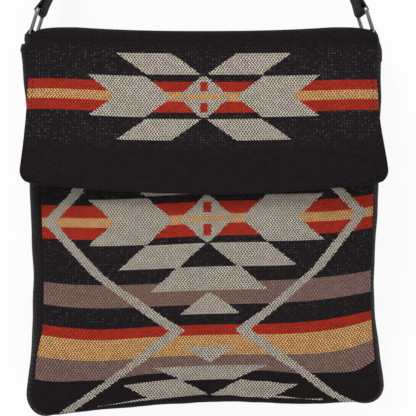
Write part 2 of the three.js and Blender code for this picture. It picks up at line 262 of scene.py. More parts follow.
def wovenCells(finish, x, y):  # herringbone: slanted yarns, turned over at each row
    run = (x + y.pingpong(yarn["row"]) * yarn["slope"]) / yarn["spacing"]
    line = y / yarn["row"]
    across = abs(run.fract() - 0.5) * 2
    along = abs(line.fract() - 0.5) * 2
    thread = 1 - finish.softStep(across, *yarn["core"])
    lift = thread * (1 - finish.softStep(along, *yarn["dive"]) * yarn["tuck"])
    return run.floor(), line.floor(), along, lift


def steppedSpot(x, y, column, row):  # part of the way to the middle of its woven cell
    cellX = (column + 0.5) * yarn["spacing"] - yarn["slope"] * yarn["row"] / 2
    cellY = (row + 0.5) * yarn["row"]
    return x + (cellX - x) * yarn["stepped"], y + (cellY - y) * yarn["stepped"]


def woolly(finish, lift, wool, rough):  # dull fibres that shine a little at the rim
    finish.put("Roughness", rough[0] + wool * rough[1])
    finish.put("Sheen Weight", 0.2)
    finish.put("Sheen Roughness", 0.25)
    finish.put("Specular IOR Level", 0.06)
    share, distance, strength = yarn["bump"]
    finish.raised(lift + wool * share, distance, strength)


def wovenFinish(name, figures):
    finish = Finish(name)
    spot, x, y = finish.cloth()
    column, row, along, lift = wovenCells(finish, x, y)
    figured, near = figures(finish, *steppedSpot(x, y, column, row))
    dot = lift * lift * (1 - finish.softStep(along, *yarn["dot"]))
    fleck = (yarn["flecked"] + finish.speck(column, row, 3.0) ** 4) * near * dot
    colour = finish.blend(fleck, yarn["colour"]["black"], yarn["colour"]["fleck"])
    depth = yarn["between"]["black"]
    for mask, kind in figured:
        colour = finish.blend(mask, colour, yarn["colour"][kind])
        depth = mask * yarn["between"][kind] + (1 - mask) * depth
    wool = finish.cloudy(spot, yarn["wool"], 3.0)
    cloud = finish.cloudy(spot, yarn["cloud"])
    least, byCell, byWool, byCloud = yarn["tone"]
    tone = least + finish.speck(column, row, 7.0) * byCell + wool * byWool + cloud * byCloud
    finish.put("Base Color", finish.scaled(colour, (depth + (1 - depth) * lift) * tone))
    woolly(finish, lift, wool, yarn["rough"])
    return finish.material


def plainFinish(name):  # the same weave in black alone
    finish = Finish(name)
    spot, x, y = finish.cloth()
    column, row, _, lift = wovenCells(finish, x, y)
    wool = finish.cloudy(spot, yarn["wool"], 3.0)
    least, byCell, byWool = yarn["plainTone"]
    tone = least + finish.speck(column, row, 5.0) * byCell + wool * byWool
    shade = (yarn["plainDepth"] + lift * (1 - yarn["plainDepth"])) * tone
    finish.put("Base Color", finish.scaled(yarn["colour"]["plain"], shade))
    woolly(finish, lift, wool, yarn["plainRough"])
    return finish.material


def middleFigures(f, sx, sy):  # what the two figured pieces share, either side of a middle stripe
    stripes = [(sy < f["red"], "red"), (sy < f["yellow"], "yellow")]
    high, middle, slant, half = f["arrow"]
    arrow = (abs(sx - middle - sy * slant) < half) & (sy < high)
    diamond = ((sx / f["diamond"][0] + sy / f["diamond"][1]) < 1) & (sy < high)
    start, end, middle, slant, half = f["wing"]
    wing = (abs(sx - middle - (sy - start) * slant) < half) & (sy > start) & (sy < end)
    bar = (sx < f["bar"][0]) & (sy > f["bar"][1]) & (sy < f["bar"][2])
    dash = (sx < f["dash"][0]) & (sy < f["dash"][1])
    return stripes, arrow | diamond | wing, [(bar, "red"), (dash, "yellow")]


# the figures' sizes are in mm on the cloth: half widths and half heights from their middle
flapFigure = dict(
    middle=97.3,  # up the cloth
    yellow=3.7,
    red=12.2,
    arrow=(16.3, 47.6, 1.33, 22.2),  # half height, middle, slant, half width
    diamond=(20.4, 18.2),
    bar=(2.65, 4.2, 11.6),  # half width, from, to
    dash=(14.7, 1.9),
    wing=(17.0, 33.6, 23.7, 1.38, 21.7),  # from, to, middle, slant, half width
    flecks=(44, 31),  # where the flecks in the black end, and where they are full
)


def flapFigures(finish, x, y):
    sy = abs(y - flapFigure["middle"])
    stripes, pale, marks = middleFigures(flapFigure, abs(x), sy)
    return stripes + [(pale, "pale")] + marks, finish.softStep(sy, *flapFigure["flecks"])


bodyFigure = dict(
    middle=(2.6, -1.1),
    drift=(2.0, 15, 65),  # how far right the lower figures sit, from, to
    yellow=3.7,
    red=13.2,
    arrow=(18.4, 49.9, 1.12, 23.1),
    diamond=(21.3, 20.1),
    bar=(2.8, 4.3, 13.0),
    dash=(16.6, 1.9),
    wing=(19.3, 38.3, 24.9, 1.19, 23.7),
    bands=[  # colour, from, to, and how far its lower edge falls outwards
        ("taupe", 49.7, 67.1, 0),
        ("red", 83.2, 91.1, 0),
        ("yellow", 91.1, 107.3, 0),
        ("taupe", 107.3, 119.5, 0.04),
    ],
    wedges=[  # from, to, half width at its top, spread, and how far its lower edge falls to the right
        (37.9, 56.4, 24.9, 1.17, 0),
        (57.2, 74.6, 0, 1.364, 0),
        (100.6, 114.0, 20.502, -1.53, 0),
        (116.4, 128.4, 45.4, -2.15, 0.03),
    ],
    lowWing=(126.7, 142.0, 46.5, 1.5, 22.8, 0.05, 0.03),  # and how far it falls outwards, and to the right
    sliver=(46.0, 89.0, 140.5, 141.5, 0.04, 0.012),  # near, far, from, to, and the same
    zigzag=[(-24, 102), (0, 125), (42, 87), (65.5, 56), (87.5, 26), (109, 55), (165, 138)],
    zigzagSpan=200,  # the ramp's full value
    zigzagHalf=(4.8, 1.4, 92, 45),  # and what is added at its inner corners, round where, how far
    stray=(3.75, 0.022, 112, 146),  # how far its lower ends lean left, more at the right, from, to
    flecks=(112, 60, 0.8),
)


def bodyFigures(finish, x, y):
    f = bodyFigure
    down = f["middle"][1] - y
    drift, start, end = f["drift"]
    aside = x - f["middle"][0] - finish.softStep(down, start, end) * drift
    sx = abs(aside)
    stripes, pale, marks = middleFigures(f, sx, abs(down))

    def fallen(outwards, right):  # the height on a line that falls outwards, or to the right
        return down - abs(x) * outwards - x * right

    for kind, start, end, outwards in f["bands"]:
        stripes.append(((down > start) & (fallen(outwards, 0) < end), kind))
    for start, end, half, spread, right in f["wedges"]:
        wedge = sx < (down - start) * spread + half
        pale = pale | (wedge & (down > start) & (fallen(0, right) < end))
    start, end, middle, slant, half, outwards, right = f["lowWing"]
    bent = fallen(outwards, right)
    pale = pale | ((abs(sx - middle + (bent - start) * slant) < half) & (bent > start) & (bent < end))
    near, far, start, end, outwards, right = f["sliver"]
    edge = fallen(outwards, right)
    pale = pale | ((sx > near) & (sx < far) & (edge > start) & (edge < end))
    first = f["zigzag"][0][0]
    span = f["zigzag"][-1][0] - first
    stops = [((d - first) / span, s / f["zigzagSpan"]) for d, s in f["zigzag"]]
    track = finish.node("ShaderNodeValToRGB", dict(stops=stops), {0: (down - first) / span})
    half, more, corner, reach = f["zigzagHalf"]
    thick = finish.softStep(abs(down - corner), reach, 0) * more + half
    offset, slope, start, end = f["stray"]
    aside = aside + finish.softStep(down, start, end) * (x * slope + offset)
    pale = pale | (abs(abs(aside) - track * f["zigzagSpan"]) < thick)
    start, end, most = f["flecks"]
    return stripes + [(pale, "pale")] + marks, finish.softStep(down, start, end) * most


liningCloth = dict(colour=ink(44, 42, 46), thread=9.0, soft=60.0)


def liningFinish():
    finish = Finish("liningCotton")
    spot, x, y = finish.cloth()
    warp = (x * liningCloth["thread"]).sine() * 0.5 + 0.5
    weft = (y * liningCloth["thread"]).sine() * 0.5 + 0.5
    soft = finish.cloudy(spot, liningCloth["soft"], 3.0)
    tone = 0.75 + warp * weft * 0.25 + soft * 0.3
    finish.put("Base Color", finish.scaled(liningCloth["colour"], tone))
    finish.put("Roughness", 0.66 + soft * 0.2)
    finish.put("Specular IOR Level", 0.2)
    finish.raised(warp * weft + soft, 0.0003, 0.5)
    return finish.material


webbing = dict(colour=ink(36, 32, 34), pick=1.5, end=2.0, slant=0.6, fuzz=1200.0)  # pick and end in mm


def webbingFinish():
    finish = Finish("strapWebbing")
    spot, x, y = finish.cloth()  # x across the band, y along it
    column = x / webbing["end"]
    rib = abs((y / webbing["pick"] + column.pingpong(1.0) * webbing["slant"]).fract() - 0.5) * 2
    warp = abs(column.fract() - 0.5) * 2
    height = (1 - rib ** 2) * (1 - warp ** 4 * 0.7)
    fuzz = finish.cloudy(spot, webbing["fuzz"])
    finish.put("Base Color", finish.scaled(webbing["colour"], 0.45 + height * 0.55 + fuzz * 0.3))
    finish.put("Roughness", 0.62 + fuzz * 0.3)
    finish.put("Sheen Weight", 0.05)
    finish.put("Specular IOR Level", 0.12)
    finish.raised(height + fuzz * 0.2, 0.0005, 0.8)
    return finish.material


nickel = dict(dark=ink(132, 130, 128), light=ink(176, 174, 170), dull=260.0, rub=1800.0)


def nickelFinish():
    finish = Finish("nickelWire")
    spot = finish.node("ShaderNodeTexCoord", {}, {}, "Object")
    dull = finish.cloudy(spot, nickel["dull"], 4.0)
    rub = finish.cloudy(spot, nickel["rub"])
    finish.put("Metallic", 1.0)
    finish.put("Base Color", finish.blend(dull, nickel["dark"], nickel["light"]))
    finish.put("Roughness", 0.14 + dull * 0.2 + rub * 0.06)
    finish.raised(rub, 0.00005, 0.4)
    return finish.material


sewing = dict(colour=ink(30, 26, 28), ply=2400.0)


def threadFinish():
    finish = Finish("stitchThread")
    spot = finish.node("ShaderNodeTexCoord", {}, {}, "Object")
    ply = finish.cloudy(spot, sewing["ply"])
    finish.put("Base Color", finish.scaled(sewing["colour"], 0.6 + ply * 0.7))
    finish.put("Roughness", 0.7)
    finish.put("Specular IOR Level", 0.15)
    finish.raised(ply, 0.0001, 0.6)
    return finish.material


bodyWeave = wovenFinish("bodyWeave", bodyFigures)
flapWeave = wovenFinish("flapWeave", flapFigures)
blackWool = plainFinish("blackWool")
liningCotton = liningFinish()
strapWebbing = webbingFinish()
nickelWire = nickelFinish()
stitchThread = threadFinish()
print("finishes made")


def clothGrid(name, columns, rows, place, cloth):
    # a flat grid, laid into shape point by point; cloth gives its place on the flat cut
    bpy.ops.object.select_all(action="DESELECT")
    bpy.ops.mesh.primitive_grid_add(x_subdivisions=columns, y_subdivisions=rows, size=2)
    piece = bpy.context.active_object
    piece.name = name
    mesh = piece.data
    mesh.name = name
    flat = [(v.co.x, (v.co.y + 1) / 2) for v in mesh.vertices]
    for vert, (u, v) in zip(mesh.vertices, flat):
        vert.co = place(u, v)
    layer = mesh.uv_layers.active
    layer.name = "cloth"
    for corner in mesh.loops:
        layer.data[corner.index].uv = cloth(*flat[corner.vertex_index])
    bpy.ops.object.shade_smooth()
    return piece


def pick(piece):
    bpy.ops.object.select_all(action="DESELECT")
    piece.select_set(True)
    bpy.context.view_layer.objects.active = piece


def openWhole(piece):  # into edit mode, with all of it selected
    pick(piece)
    bpy.ops.object.mode_set(mode="EDIT")
    bpy.ops.mesh.select_all(action="SELECT")


def weld(piece, inside=False):
    openWhole(piece)
    bpy.ops.mesh.remove_doubles(threshold=1e-5)
    bpy.ops.mesh.normals_make_consistent(inside=inside)
    bpy.ops.object.mode_set(mode="OBJECT")


def thicken(piece, cloth, offset, rim=0.0):  # offset -1 grows inwards, 1 outwards
    pick(piece)
    wall = piece.modifiers.new("cloth", "SOLIDIFY")
    wall.thickness = cloth
    wall.offset = offset
    bpy.ops.object.modifier_apply(modifier=wall.name)
    if rim:
        edge = piece.modifiers.new("rim", "BEVEL")
        edge.width = rim
        edge.segments = 2
        edge.limit_method = "ANGLE"
        edge.angle_limit = math.radians(50)
        bpy.ops.object.modifier_apply(modifier=edge.name)
    bpy.ops.object.shade_smooth()


def dress(piece, finish, slot, *nodes):
    piece.data.materials.clear()
    piece.data.materials.append(finish)
    if nodes:
        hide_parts(*nodes)


bag = dict(
    top=0.150,
    bottom=-0.150,
    topHalf=0.136,
    waistHalf=0.128,
    baseHalf=0.136,
    waist=-0.050,
    spread=(1.2, 2),  # how the sides open above and below the waist
    topCorner=0.020,
    baseCorner=0.0163,
    basePull=0.0045,
    baseTilt=0.0053,  # the left corner hangs lower than the right
    baseBulge=(0.003, 0.62, 0.3),  # how far, its middle along the base, its width
    mouthHalf=0.015,
    bellyHalf=0.018,
    seamFull=0.45,  # how far down, as a share of the height, the seams are furthest apart
    baseNip=0.006,
    baseRoll=0.050,
    middle=0.026,
    frontCrown=0.018,
    backCrown=0.010,
    crownRound=(3, 0.8),
    belly=0.5,  # how far down the belly is fullest
    bellyRound=(4, 0.6),
    cloth=0.0018,
    edge=0.0005,
    gap=0.00035,
    settle=0.0008,
    sag=0.0045,  # the mouth's edge hangs a little at its middle
    sagRound=2.5,
    sagFrom=0.06,
    ripple=0.0016,
    ripples=((1, 0.075, 1.3), (0.5, 0.034, 4.1)),  # share, size, seed
    rippleFree=(0.25, 0.04),  # calm along the sides and the base
    rowEnds=0.75,  # how far the rows crowd towards the two ends
    snap=0.039,  # where the magnetic snap holds the flap down
    snapCalm=(0.03, 0.03),
    frontGrid=(120, 130),
    backGrid=(80, 100),
)
height = bag["top"] - bag["bottom"]
lowDown = (-0.085, 0.025)  # where the sides start to turn into the base, and over what length


def hump(value, middle, wide):
    return math.exp(-(((value - middle) / wide) ** 2))


def cornerCut(radius, into):
    into = clamp(into, 0, radius)
    return radius - math.sqrt(radius * radius - into * into)


def bagHalf(y):
    above = y > bag["waist"]
    end = bag["top"] if above else bag["bottom"]
    wide = bag["topHalf"] if above else bag["baseHalf"]
    reach = (y - bag["waist"]) / (end - bag["waist"])
    half = mixed(bag["waistHalf"], wide, reach ** (bag["spread"][0] if above else bag["spread"][1]))
    half -= cornerCut(bag["topCorner"], y - bag["top"] + bag["topCorner"])
    return half - cornerCut(bag["baseCorner"], bag["bottom"] + bag["baseCorner"] - y)


def mouthSag(u):
    return bag["settle"] + bag["sag"] * (1 - abs(clamp(u, -1, 1)) ** bag["sagRound"])


def mouthHang(u, y):  # the mouth's sag, less and less further down
    return mouthSag(u) * ease((y - bag["sagFrom"]) / (bag["top"] - bag["sagFrom"]))


def bagDown(u, y):  # the base curves up at its middle, leans and bulges, and the mouth hangs
    low = clamp((bag["waist"] - y) / (bag["waist"] - bag["bottom"]))
    bulge, middle, wide = bag["baseBulge"]
    y += bag["basePull"] * (1 - u * u) * low**4
    y += (bag["baseTilt"] * u - bulge * hump(u, middle, wide)) * low**3
    return y - mouthHang(u, y)


def swell(y):
    down = clamp((bag["top"] - y) / height)
    steep, soft = bag["bellyRound"]
    below = clamp((down - bag["belly"]) / (1 - bag["belly"]))
    return ease(down / bag["belly"]) * (1 - below**steep) ** soft


def seamDepth(y):
    down = clamp((bag["top"] - y) / height)
    depth = mixed(bag["mouthHalf"], bag["bellyHalf"], ease(down / bag["seamFull"]))
    return depth - bag["baseNip"] * ease((bag["bottom"] + bag["baseRoll"] - y) / bag["baseRoll"])


def crown(u):
    steep, soft = bag["crownRound"]
    return (1 - clamp(abs(u)) ** steep) ** soft


def offSnap(x, y, wide, high):  # 0 at the snap, 1 well away from it
    return 1 - hump(x, 0, wide) * hump(y, bag["snap"], high)


def frontZ(u, y):
    x = u * bagHalf(y)
    z = bag["middle"] + seamDepth(y) + bag["frontCrown"] * swell(y) * crown(u)
    side, base = bag["rippleFree"]
    loose = ease((1 - abs(u)) / side) * ease((y - bag["bottom"]) / base) * offSnap(x, y, *bag["snapCalm"])
    waves = sum(share * wander(x, y, size, seed) for share, size, seed in bag["ripples"])
    return z + bag["ripple"] * loose * waves


def backZ(u, y):
    return max(0.0, bag["middle"] - seamDepth(y) - bag["backCrown"] * swell(y) * crown(u))


def rowY(v):  # rows stand closer at the two ends, where the corners turn
    crowded = 0.5 - 0.5 * math.cos(math.pi * v)
    return mixed(bag["bottom"], bag["top"], mixed(v, crowded, bag["rowEnds"]))


gather = dict(
    pitch=0.0026,
    high=0.00045,
    inside=0.004,  # its middle, from the seam
    wide=0.007746,
    uneven=(4, 0.02),  # how much, and its size
    least=(0.6, 0.03),
)


def pucker(u, y):  # short gathers along the side seams
    edge = (1 - abs(u)) * bagHalf(y)
    uneven, size = gather["uneven"]
    wave = math.sin(y / gather["pitch"] + uneven * wander(y, u, size, 7.7))
    least, size = gather["least"]
    wave *= least + wander(y, u, size, 2.2)
    return gather["high"] * wave * hump(edge, gather["inside"], gather["wide"])


frontSeam = dict(
    right=(0.0026, 0.001),  # how far right it sits below the flap, and more at the right
    start=(0.08, 0.06),  # from where down, and over what length
    back=0.0014,  # how far its left side comes back near the base
)


def seamShift(u, y):  # below the flap the front seam sits to the right, so more of the left side shows
    right, more = frontSeam["right"]
    start, over = frontSeam["start"]
    shift = (right + more * u) * ease((start - y) / over)
    return shift - frontSeam["back"] * (1 - u) * ease((lowDown[0] - y) / lowDown[1])


def frontPlace(u, v):
    y = rowY(v)
    return Vector((u * bagHalf(y) + seamShift(u, y), bagDown(u, y), frontZ(u, y) + pucker(u, y)))


weaveRun = dict(
    lower=0.09,  # how far below the middle the lower values hold
    widen=(0.028, -0.1, 0.05),  # how much, from where up, over what length
    climb=(0.0051, 0.0115),  # to the right seam, at the middle and lower down
    late=5,  # the higher, the nearer the seam it climbs
    sooner=(2, -0.01, 0.04),  # how much, from where down, over what length
    later=(6.5, -0.055, 0.07, 2.4),
    level=(0.8, -0.115, 0.02),
    step=(0.0019, 0.0011),  # up at the middle, and lower down
    stepAt=(-0.17, 0.27),
    left=(0.0022, 0.05, 9),  # a last climb at the left seam
    dip=(0.0008, 0.0016, -0.057, 0.04),  # and more lower down
    dipAt=(-0.65, 0.25),
)


def frontCloth(u, v):  # the weave steps up at the middle and runs up to the right seam
    y = rowY(v)
    low = clamp(-y / weaveRun["lower"])
    right = max(0, u)
    wider, start, over = weaveRun["widen"]
    x = (u * bagHalf(y) + seamShift(u, y)) * (1 + wider * right * clamp((y - start) / over))
    sooner, start, over = weaveRun["sooner"]
    late = weaveRun["late"] - sooner * clamp((start - y) / over)
    later, start, over, power = weaveRun["later"]
    late += later * clamp((start - y) / over) ** power
    level, start, over = weaveRun["level"]
    lift = mixed(*weaveRun["climb"], low) * right**late * (1 - level * ease((start - y) / over))
    middle, wide = weaveRun["stepAt"]
    lift += mixed(*weaveRun["step"], low) * math.tanh((u - middle) / wide)
    climb, over, power = weaveRun["left"]
    lift += climb * clamp(-y / over) * max(0, -u) ** power
    dip, more, start, over = weaveRun["dip"]
    lift -= (dip + more * clamp((start - y) / over)) * hump(u, *weaveRun["dipAt"])
    return (x, y - lift)


def backPlace(u, v):
    y = rowY(v)
    return Vector((u * bagHalf(y), bagDown(u, y), backZ(u, y)))


def backCloth(u, v):
    y = rowY(v)
    return (u * bagHalf(y), y)


def makePanels():
    front = clothGrid("frontPanel", *bag["frontGrid"], frontPlace, frontCloth)
    thicken(front, bag["cloth"], -1, bag["edge"])
    dress(front, bodyWeave, "weave", "front_panel")
    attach(front, "bag")
    back = clothGrid("backPanel", *bag["backGrid"], backPlace, backCloth)
    openWhole(back)
    bpy.ops.mesh.flip_normals()
    bpy.ops.object.mode_set(mode="OBJECT")
    thicken(back, bag["cloth"], -1, bag["edge"])
    dress(back, blackWool, "black", "back_panel")
    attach(back, "bag")


makePanels()
print("panels sewn")

gusset = dict(
    half=0.018,
    grid=(12, 320),
    bow=(0.0078, 0.007),  # left and right
    trim=(0.0012, -0.0008),  # and less near the base
    nip=(0.0, 0.0018),  # taken in at the waist
    nipHigh=0.045,
    drop=0.011,
    flare=(0.0024, -0.002),  # its left top stands out, its right one is drawn in
    reach=0.045,
    hem=0.008,
    hemProud=0.0009,
    hemEdge=0.002,
    crease=0.0009,
    creaseFrom=0.02,
    edge=0.0004,
    sideSteps=90,
    baseSteps=60,
    crowd=1.6,  # how closely its points stand near the base
)
gussetTop = bag["top"] - gusset["drop"]


def gussetBow(side, y):
    end = 0 if side < 0 else 1
    bow = gusset["bow"][end] - gusset["nip"][end] * hump(y, bag["waist"], gusset["nipHigh"])
    bow -= gusset["trim"][end] * ease((lowDown[0] - y) / lowDown[1])
    return bow + gusset["flare"][end] * ease((y - gussetTop + gusset["reach"]) / gusset["reach"])


def evenPoints(line, count, lengthOf):  # the same line with its points evenly spaced, and its length
    lengths = [0.0]
    for a, b in zip(line, line[1:]):
        lengths.append(lengths[-1] + lengthOf(b - a))
    even = []
    step = 0
    for i in range(count + 1):
        goal = lengths[-1] * i / count
        while step < len(line) - 2 and lengths[step + 1] < goal:
            step += 1
        span = max(1e-9, lengths[step + 1] - lengths[step])
        even.append(line[step].lerp(line[step + 1], clamp((goal - lengths[step]) / span)))
    return even, lengths[-1]


def seamLine(count):  # round the bag from the left top, along the base, to the right top
    left = []
    for i in range(gusset["sideSteps"]):
        rise = math.sin(math.pi / 2 * (1 - i / gusset["sideSteps"])) ** gusset["crowd"]
        left.append((-1, mixed(bag["bottom"], gussetTop, rise)))
    base = [(-1 + 2 * i / gusset["baseSteps"], bag["bottom"]) for i in range(gusset["baseSteps"] + 1)]
    spots = left + base + [(1, y) for _, y in reversed(left)]
    line = [Vector((u * bagHalf(y), bagDown(u, y), y)) for u, y in spots]  # z keeps the height on the cut
    return evenPoints(line, count, lambda step: step.to_2d().length)


def makeGusset():
    columns, count = gusset["grid"]
    line, total = seamLine(count)
    outward = []
    for i in range(count + 1):
        run = (line[min(count, i + 2)] - line[max(0, i - 2)]).to_2d().normalized()
        outward.append(Vector((run.y, -run.x)))  # the line runs down the left side first

    def place(u, v):
        i = min(count, round(v * count))
        spot = line[i]
        out = outward[i]
        if spot.z > bag["waist"]:
            out = Vector((math.copysign(1, spot.x), 0))
        along = v * total
        end = min(along, total - along)
        bow = gussetBow(spot.x, spot.z) * abs(out.x) * (1 - u * u)
        bow += gusset["hemProud"] * ease((gusset["hem"] - end) / gusset["hemEdge"]) * (1 - u**4)
        creases = wander(along, u * 0.006, 0.022, 8.8) + 0.8 * wander(along, u, 0.06, 3.3)
        bow += gusset["crease"] * (1 - u * u) * ease(end / gusset["creaseFrom"]) * creases
        deep = seamDepth(spot.z) - bag["cloth"] - bag["gap"]
        x = spot.x + seamShift(spot.x / bagHalf(spot.z), spot.z) * ((1 + u) / 2) ** 2
        return Vector((x + out.x * bow, spot.y + out.y * bow, bag["middle"] + deep * u))

    piece = clothGrid("gussetStrip", columns, count, place, lambda u, v: (u * gusset["half"], v * total))
    weld(piece)
    middle = piece.data.polygons[len(piece.data.polygons) // 2]
    if middle.normal.y > 0:  # at the base it has to face down
        weld(piece, inside=True)
    thicken(piece, bag["cloth"], -1, gusset["edge"])
    dress(piece, blackWool, "black", "gusset")
    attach(piece, "bag")


makeGusset()
print("gusset sewn")


def makeLining():
    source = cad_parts["lining"]
    piece = bpy.data.objects.new("bagLining", source.data.copy())
    scene.collection.objects.link(piece)
    openWhole(piece)
    bpy.ops.mesh.remove_doubles(threshold=1e-6)
    bpy.ops.mesh.tris_convert_to_quads()
    bpy.ops.object.mode_set(mode="OBJECT")
    finer = piece.modifiers.new("finer", "SUBSURF")
    finer.levels = 1
    finer.render_levels = 1
    bpy.ops.object.modifier_apply(modifier=finer.name)
    mesh = piece.data
    for vert in mesh.vertices:  # it follows the front seam and the mouth
        u = clamp(vert.co.x / bagHalf(vert.co.y), -1, 1)
        deep = seamDepth(vert.co.y)
        vert.co.x += seamShift(u, vert.co.y) * clamp((vert.co.z - bag["middle"] + deep) / (2 * deep))
        vert.co.y -= mouthHang(u, vert.co.y)
    layer = mesh.uv_layers.active or mesh.uv_layers.new()
    layer.name = "cloth"
    for corner in mesh.loops:
        spot = mesh.vertices[corner.vertex_index].co
        layer.data[corner.index].uv = (spot.x + spot.z, spot.y)
    bpy.ops.object.shade_smooth()
    dress(piece, liningCotton, "lining", "lining")
    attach(piece, "bag")


makeLining()
print("lining hung")

flap = dict(
    length=0.131,
    cornerRise=0.0085,
    foldHalf=0.1315,
    topHalf=0.138,
    lowHalf=0.148,
    shoulder=0.012,
    corner=0.012,
    drape=0.97,
    gapTop=0.0010,
    gapLow=0.00365,
    cling=0.103,
    rim=(0.002, 0.09, 0.04),  # how far its lower edge stands off, from where, over what length
    snapCalm=(0.025, 0.02),
    wave=(0.0014, 0.05, 0.08),
    waveShape=(0.045, 5.5, 0.7),  # size, seed, and what is added to it
    waveSide=(0.25, 0.75),  # at the middle, and more at the sides
    waveHalf=0.14,
    lining=0.0008,
    liningTrim=0.003,
    foldTurn=0.0058,
    foldAt=0.006,
    foldSettle=0.03,
    bridgeHalf=0.117,
    backHalf=0.119,  # just before the fold, which widens it
    widening=0.3,
    lap=0.009,
    lapGap=0.0001,
    lapTurn=0.0016,
    roundFrom=0.8,  # where the fold's two shoulders start to round off
    roundDrop=0.0028,
    endDrop=0.0012,  # how far the bridge's two ends drop with them
    hang=(0.0012, 0.0024),  # how far the cloth's middle hangs, at the fold and more at its edge
    hangHalf=0.85,
    hitch=0.0009,  # how far its left end is pulled up
    nip=(0.0022, 0.02, 0.06, 0.05),  # its right side is drawn in: how far, full at, ends from, over
    edge=0.0006,
    bridgeEdge=0.0005,
    bridgeCloth=(0.2, 0.003),  # its place on the cut, and the step of a row
    lapRows=3,
    turnRows=5,
    bridgeRows=8,
    foldRows=10,
    frontRows=60,
    split=4,  # the bridge's row where the two cloth pieces meet
    columns=110,
    liningColumns=80,
    bendStart=(0, 0.1525, 0.022),
    bendEnd=(0, 0.1475, 0.0345),
)
foldLast = flap["bridgeRows"] + flap["foldRows"]
flapLast = foldLast + flap["frontRows"]


def flapLong(u):
    return flap["length"] - flap["cornerRise"] * u * u


def flapHalf(u, fall):
    turn = 1 - clamp(fall / flap["shoulder"])
    drawn = 1 - math.sqrt(max(0, 1 - turn * turn))
    half = mixed(flap["topHalf"], flap["foldHalf"], drawn)
    flare = max(0, fall - flap["shoulder"]) / (flap["length"] - flap["shoulder"])
    half += (flap["lowHalf"] - flap["topHalf"]) * flare * flare
    if u > 0:
        nip, full, ends, over = flap["nip"]
        half -= nip * ease(fall / full) * (1 - ease((fall - ends) / over))
    return half - cornerCut(flap["corner"], fall - flapLong(u) + flap["corner"])


def flapLift(u, fall):  # the height of the flap's middle over the front panel, with its loose lower edge
    y = bag["top"] - fall
    x = u * flap["waveHalf"]
    z = frontZ(u * flap["drape"], min(y, bag["top"]))
    z += mixed(flap["gapTop"], flap["gapLow"], ease(fall / flap["cling"]))
    high, start, over = flap["wave"]
    size, seed, more = flap["waveShape"]
    loose = flap["waveSide"][0] + flap["waveSide"][1] * u * u
    z += high * ease((fall - start) / over) * loose * (wander(x, y, size, seed) + more)
    high, start, over = flap["rim"]
    z += high * ease((fall - start) / over) * offSnap(x, y, *flap["snapCalm"])
    return z + flap["lining"] + bag["gap"] + bag["cloth"] / 2


@functools.lru_cache(maxsize=None)
def flapStations(u, inset):  # down the cloth: back seam, bridge, fold, front; inset is towards the inside
    over = clamp((abs(u) - flap["roundFrom"]) / (1 - flap["roundFrom"]))
    fallen = 1 - math.sqrt(1 - over * over)
    base = bag["top"] - mouthSag(u) + 2 * bag["gap"] + flap["lining"] + bag["cloth"] / 2 - inset
    base -= flap["endDrop"] * fallen
    top = base - flap["roundDrop"] * fallen
    turn = flap["foldTurn"] - inset
    foldZ = flapLift(u, flap["foldAt"]) - inset
    seamZ = bag["middle"] - bag["mouthHalf"]
    path = []
    for i in range(flap["bridgeRows"] + 1):
        t = i / flap["bridgeRows"]
        path.append((mixed(base, top, ease(t)), mixed(seamZ, foldZ - turn, t)))
    for i in range(1, flap["foldRows"] + 1):
        a = math.pi / 2 * i / flap["foldRows"]
        path.append((top - turn + turn * math.cos(a), foldZ - turn + turn * math.sin(a)))
    start = bag["top"] - path[-1][0]
    for i in range(1, flap["frontRows"] + 1):
        fall = mixed(start, flapLong(u), i / flap["frontRows"])
        settle = ease((fall - start) / flap["foldSettle"])
        path.append((bag["top"] - fall, mixed(foldZ, flapLift(u, fall) - inset, settle)))
    return path


def flapPlace(u, row, inset=0.0, trim=0.0):
    y, z = flapStations(u, inset)[row]
    if row <= flap["bridgeRows"]:
        half = mixed(flap["bridgeHalf"], flap["backHalf"], ease(row / flap["bridgeRows"]))
    else:
        turned = min(1, (row - flap["bridgeRows"]) / flap["foldRows"])
        wide = math.sin(math.pi / 2 * turned) ** flap["widening"]
        fall = clamp(bag["top"] - y, 0, flapLong(u))
        half = mixed(flap["backHalf"], flapHalf(u, fall), wide)
    if row == flapLast:
        y += trim
    return Vector((u * (half - trim), y, z))


stitch = dict(
    long=0.0025,
    pitch=0.0036,
    wide=0.0007,
    high=0.0005,
    inset=0.004,
    edge=0.973,
    sides=0.114,  # how far the seam runs up the flap's two sides
    steps=60,
)


def sewAlong(name, line):  # one stitch, modelled once and copied along the line of places and normals
    bpy.ops.object.select_all(action="DESELECT")
    bpy.ops.mesh.primitive_uv_sphere_add(segments=6, ring_count=4, radius=0.5)
    piece = bpy.context.active_object
    piece.name = name
    shape = [vert.co.copy() for vert in piece.data.vertices]
    loops = sorted(list(face.vertices) for face in piece.data.polygons)
    size = (stitch["wide"], stitch["high"], stitch["long"])
    places = []
    faces = []
    run = 0.0
    for (a, normal), (b, _) in zip(line, line[1:]):
        step = (b - a).length
        if run + step < stitch["pitch"]:
            run += step
            continue
        ahead = (b - a).normalized()
        aside = ahead.cross(normal).normalized()
        first = len(places)
        for p in shape:
            places.append(b + aside * (p.x * size[0]) + normal * (p.y * size[1]) + ahead * (p.z * size[2]))
        faces += [[first + i for i in loop] for loop in loops]
        run = 0.0
    mesh = bpy.data.meshes.new(name)
    mesh.from_pydata(places, [], faces)
    piece.data = mesh
    weld(piece)
    bpy.ops.object.shade_smooth()
    dress(piece, stitchThread, "black")
    return piece


